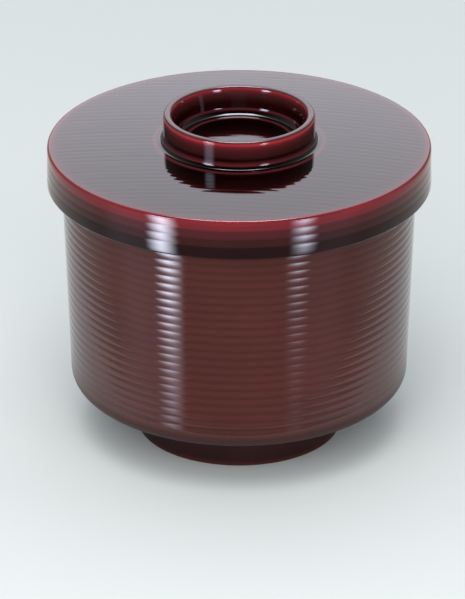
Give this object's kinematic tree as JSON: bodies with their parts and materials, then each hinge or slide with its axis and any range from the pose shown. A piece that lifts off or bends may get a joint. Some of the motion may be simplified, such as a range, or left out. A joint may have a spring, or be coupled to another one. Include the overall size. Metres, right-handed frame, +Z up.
{
  "type": "lidded soup bowl",
  "caption": "Small lacquered soup bowl with finely ribbed straight sides on a foot ring, under a cap lid with an overhanging skirt and a low open ring knob.",
  "frame": {"origin": "centre of the foot ring's underside, on the table", "axes": "+Z up along the turning axis of the bowl and lid, +X and +Y across it; the form is round, so X is only the side at the picture's right"},
  "size_m": [0.0962, 0.0962, 0.0856],
  "materials": {
    "tame_lacquer": "translucent dark brown lacquer over red, glossy, on a moulded resin core",
    "tame_lacquer_lid": "the same lacquer, darker and more polished on the lid, redder where it is thin at the edges",
    "vermilion_lacquer": "opaque vermilion lacquer, semi-gloss"
  },
  "bodies": {
    "bowl": {"bowl": "tame_lacquer", "bowl_lining": "vermilion_lacquer"},
    "lid": {"lid": "tame_lacquer_lid", "lid_lining": "vermilion_lacquer"}
  },
  "joints": [
    {"name": "lid_lift", "type": "slide", "parent": "bowl", "child": "lid", "axis": [0, 0, 1], "range_m": [0, 0.08]}
  ]
}
